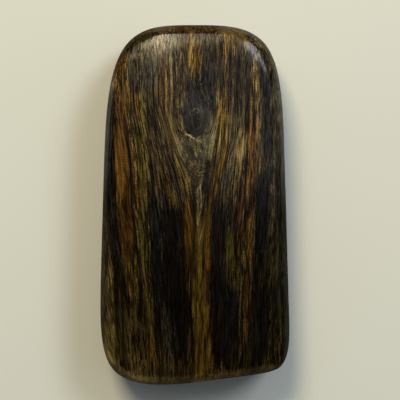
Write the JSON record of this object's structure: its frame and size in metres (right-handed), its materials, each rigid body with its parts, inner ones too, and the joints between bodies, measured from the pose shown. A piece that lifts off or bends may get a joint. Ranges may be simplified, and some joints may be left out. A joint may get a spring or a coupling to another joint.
{
  "type": "agarwood piece",
  "caption": "Palm-sized rounded slab of dark resinous agarwood, sanded and polished, narrower at one end, with a flat back to rest on.",
  "frame": {"origin": "bottom centre of the bounding box, on the flat back", "axes": "+Y along the grain towards the narrow end, +X across the grain, +Z out of the show face"},
  "size_m": [0.0402, 0.0758, 0.0179],
  "materials": {
    "agarwood": "polished"
  },
  "bodies": {
    "root": {"agarwood_piece": "agarwood"}
  },
  "joints": []
}
